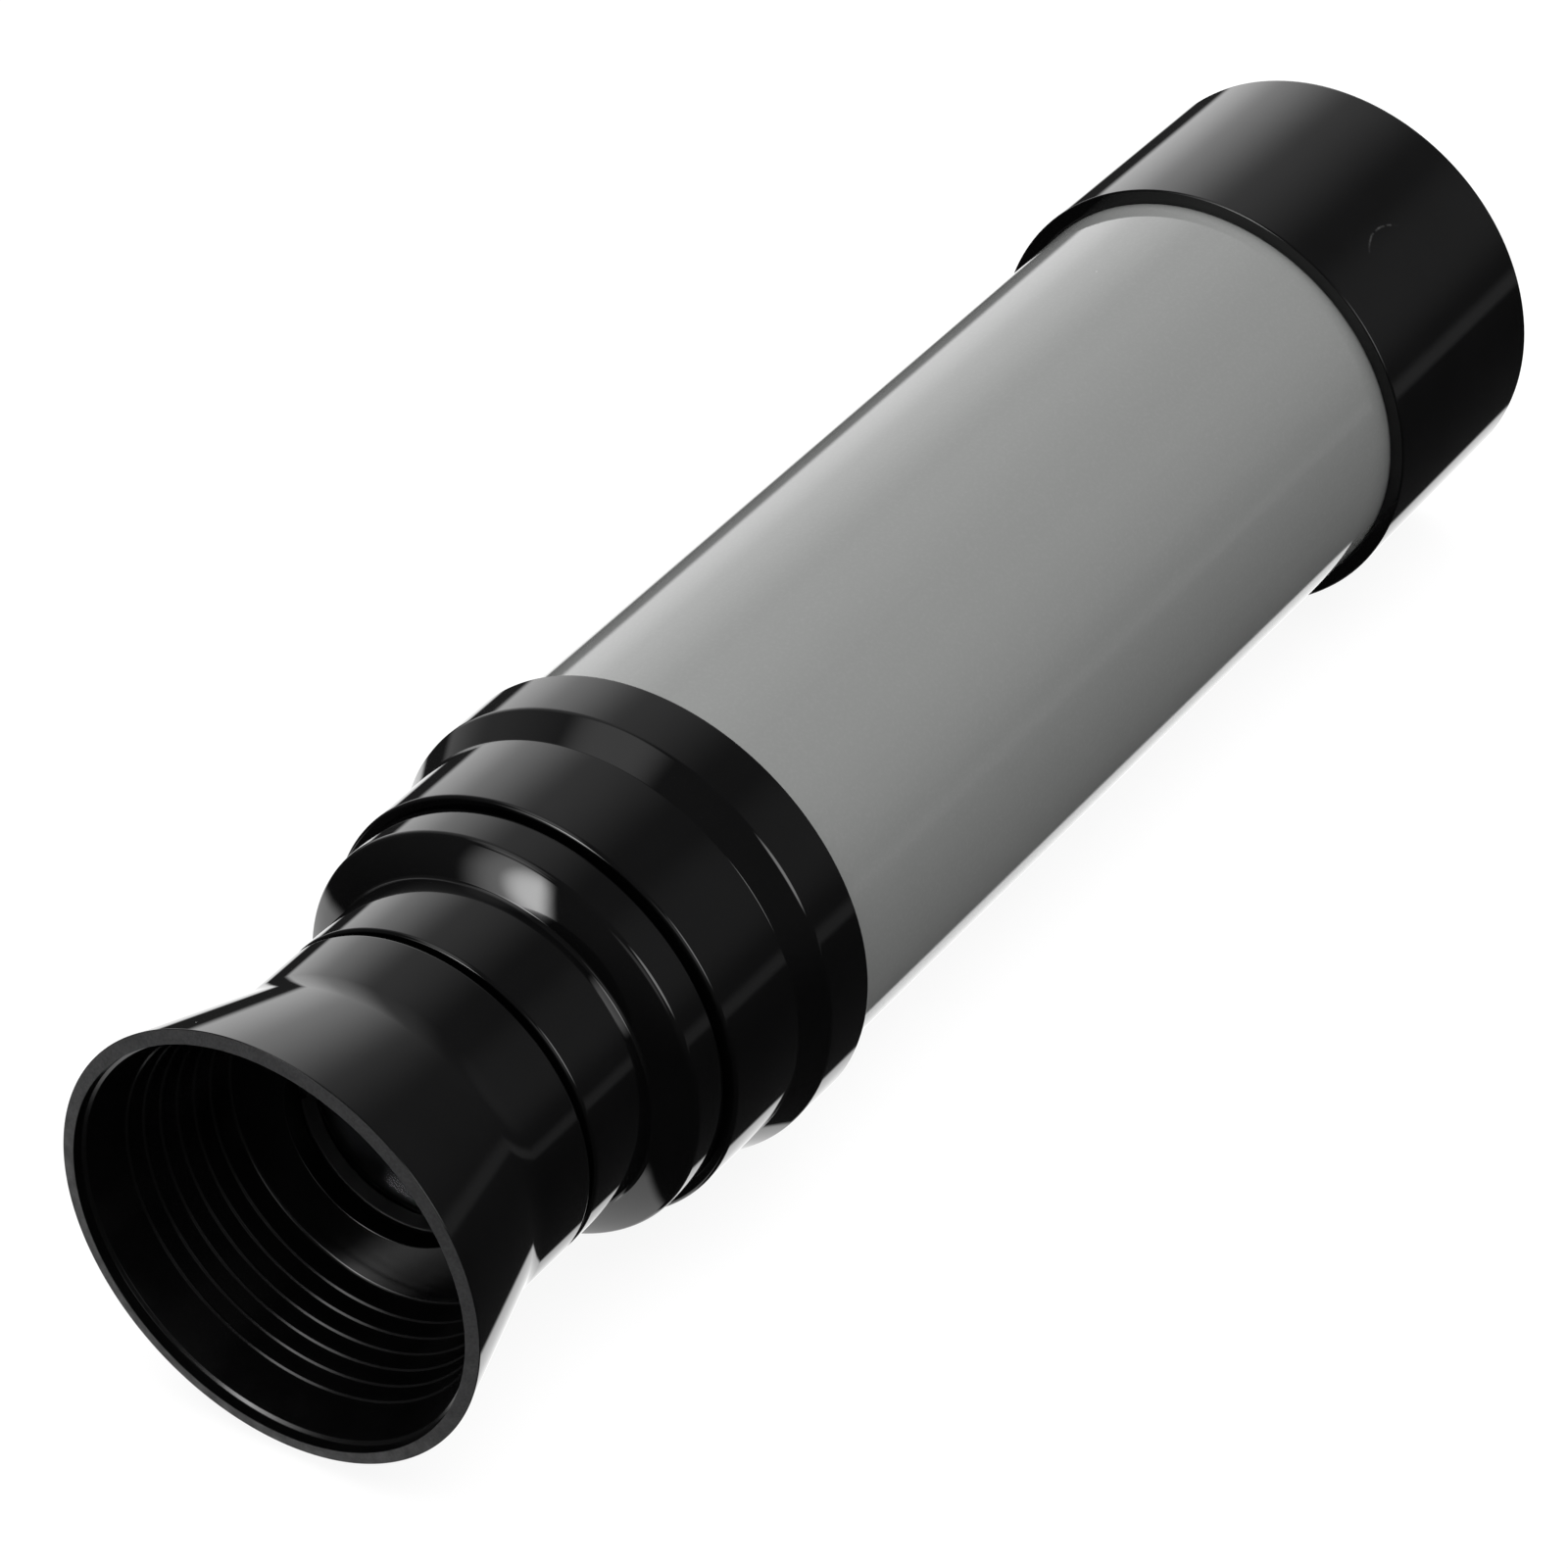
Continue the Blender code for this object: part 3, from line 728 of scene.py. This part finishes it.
def floor_sheet(name, height, albedo, glow):
    """A large matt sheet at a height in metres; glow is the light that it gives off itself."""
    half = 6.0
    corners = [(-half, -half, height), (half, -half, height), (half, half, height), (-half, half, height)]
    mesh = bpy.data.meshes.new(name)
    mesh.from_pydata(corners, [], [(0, 1, 2, 3)])
    sheet = add_object(name, mesh)
    material = bpy.data.materials.new(name)
    material.use_nodes = True
    shader = material.node_tree.nodes["Principled BSDF"]
    shader.inputs["Base Color"].default_value = (albedo, albedo, albedo, 1.0)
    shader.inputs["Roughness"].default_value = 0.9
    shader.inputs["Specular IOR Level"].default_value = 0.0
    shader.inputs["Emission Color"].default_value = (1.0, 1.0, 1.0, 1.0)
    shader.inputs["Emission Strength"].default_value = glow
    mesh.materials.append(material)
    return sheet


def studio_floor():
    """A white table lit from below as well, so its shadows are faint. The sheet the camera sees throws no
    light; a plain one just under it throws the light that the object gets from the table."""
    seen = floor_sheet("floor", height=0.0, albedo=0.15, glow=0.92)
    seen.visible_diffuse = False
    seen.visible_glossy = False
    seen.visible_transmission = False
    seen.visible_shadow = False
    under = floor_sheet("floor_bounce", height=-0.2 * MM, albedo=0.62, glow=0.0)
    under.visible_camera = False
    under.visible_glossy = False   # what gloss mirrors is in reflected_studio


def overhead_light():
    """One very large soft light above, as wide as a ceiling panel seen from the table."""
    light = bpy.data.lights.new("overhead", "SUN")
    light.energy = 3.7
    light.angle = math.radians(75)
    lamp = add_object("overhead", light)
    lamp.rotation_euler = (math.radians(4), 0.0, 0.0)
    lamp.visible_glossy = False   # what gloss mirrors is in reflected_studio


def sine(degrees):
    return math.sin(math.radians(degrees))


class Studio:
    """The world as seen from the object: light by direction, added up from soft-edged parts."""

    def __init__(self, name):
        world = bpy.data.worlds.new(name)
        bpy.context.scene.world = world
        world.use_nodes = True
        world.cycles.sampling_method = "NONE"
        self.tree = world.node_tree
        self.tree.nodes.clear()
        self.ray = self.add("ShaderNodeTexCoord").outputs["Generated"]
        self.height = self.along(Vector((0.0, 0.0, 1.0)))   # sine of a direction's elevation

    def add(self, kind, inputs=None, **settings):
        return add_node(self.tree, kind, inputs, **settings)

    def along(self, vector):
        """How far a direction points along a vector, from -1 to 1."""
        inputs = {0: self.ray, 1: vector}
        return self.add("ShaderNodeVectorMath", inputs, operation="DOT_PRODUCT").outputs["Value"]

    def ramp(self, value, low, high, to_low=0.0, to_high=1.0):
        inputs = {"Value": value, "From Min": low, "From Max": high, "To Min": to_low, "To Max": to_high}
        return self.add("ShaderNodeMapRange", inputs, interpolation_type="SMOOTHSTEP").outputs[0]

    def panel(self, azimuth, elevation, inner, outer, strength):
        """A round panel: full strength within inner degrees of its middle, nothing beyond outer."""
        near = self.along(direction(azimuth, elevation))
        return self.ramp(near, math.cos(math.radians(outer)), math.cos(math.radians(inner)), 0.0, strength)

    def math(self, operation, a, b):
        return self.add("ShaderNodeMath", {0: a, 1: b}, operation=operation).outputs[0]

    def total(self, *values):
        result = values[0]
        for value in values[1:]:
            result = self.math("ADD", result, value)
        return result

    def product(self, *values):
        result = values[0]
        for value in values[1:]:
            result = self.math("MULTIPLY", result, value)
        return result


def dim_room(studio):
    """Dark at table height, a little lighter above."""
    return studio.ramp(studio.height, sine(-25), sine(20), 0.015, 0.1)


def window(studio):
    """A wide soft panel beyond the objective, cut off by the table."""
    above_table = studio.ramp(studio.height, sine(-13), sine(-8))
    panels = studio.total(
        studio.panel(43, 0, 10, 40, 0.8),
        studio.panel(45, 28, 15, 50, 0.35),
        studio.panel(45, -8, 6, 22, 0.33))
    return studio.product(panels, above_table)


def key_light(studio):
    """A bright lamp with a halo behind the eyecup, shaded on one side."""
    lit_side = studio.ramp(studio.along(direction(81, 0)), sine(-2), sine(5))
    lamp = studio.total(studio.panel(167, 14, 0, 13, 7.5), studio.panel(167, 14, 2, 26, 3.0))
    return studio.product(lamp, lit_side)


def lit_table(studio):
    """The part of the white table that the light reaches."""
    side = studio.ramp(studio.along(Vector((-0.085, 0.935, -0.044))), sine(-1), sine(2))
    front = studio.ramp(studio.along(Vector((1.0, 0.0, 0.0))), -0.6, -0.48)
    below = studio.ramp(studio.height, sine(-27), sine(-23), 1.0, 0.0)
    return studio.product(side, front, below, 1.2)


def table_edge(studio):
    """The far edge of the table, a faint strip just below the horizon."""
    low = studio.ramp(studio.height, sine(-12.5), sine(-10))
    high = studio.ramp(studio.height, sine(-8.5), sine(-4), 1.0, 0.0)
    return studio.product(low, high, studio.panel(-44, -8, 4, 32, 0.14))


def reflected_studio():
    """What polished surfaces mirror: soft panels in a dark room. Matt ones get only a faint even light
    from here, and the camera sees plain white."""
    studio = Studio("studio")
    lit = studio.total(
        dim_room(studio),
        window(studio),
        key_light(studio),
        lit_table(studio),
        studio.panel(110, 68, 5, 25, 0.9),      # overhead
        studio.panel(-42, 22, 5, 24, 0.09),     # weak fill on the other side
        studio.panel(-76, 26, 8, 20, 3.6),      # glints along the collars' edges
        table_edge(studio),
        studio.panel(-130, 25, 8, 22, 0.6),     # these two are for the views from the objective's end
        studio.panel(150, 52, 6, 18, 1.2))
    even_light = 0.012
    path = studio.add("ShaderNodeLightPath")
    mirrored = studio.math("SUBTRACT", 1.0, path.outputs["Is Diffuse Ray"])
    strength = studio.total(studio.product(lit, mirrored), even_light)
    white = (1.0, 1.0, 1.0, 1.0)
    panels = studio.add("ShaderNodeBackground", {"Color": white, "Strength": strength})
    backdrop = studio.add("ShaderNodeBackground", {"Color": white, "Strength": 1.0})
    shaders = {0: path.outputs["Is Camera Ray"], 1: panels.outputs[0], 2: backdrop.outputs[0]}
    mix = studio.add("ShaderNodeMixShader", shaders)
    studio.add("ShaderNodeOutputWorld", {"Surface": mix.outputs[0]})


def camera():
    """Looks down on the eyecup from its side, with a long lens: the angle and perspective of the
    photograph, with azimuth from -Y towards +X."""
    azimuth = math.radians(-56.918)
    elevation = math.radians(36.556)
    distance = 0.55267
    aim = Vector((-0.011019, -0.000276, 0.021201))
    back = Vector((math.sin(azimuth) * math.cos(elevation), -math.cos(azimuth) * math.cos(elevation),
                   math.sin(elevation)))
    data = bpy.data.cameras.new("camera")
    data.sensor_width = 36.0
    data.lens = 149.11
    data.clip_start = 0.01
    data.clip_end = 50.0
    cam = add_object("camera", data)
    cam.location = aim + back * distance
    cam.rotation_mode = "QUATERNION"
    cam.rotation_quaternion = (-back).to_track_quat("-Z", "Y")
    bpy.context.scene.camera = cam


build()
studio_floor()
overhead_light()
reflected_studio()
camera()
bpy.context.scene.view_settings.view_transform = "Standard"
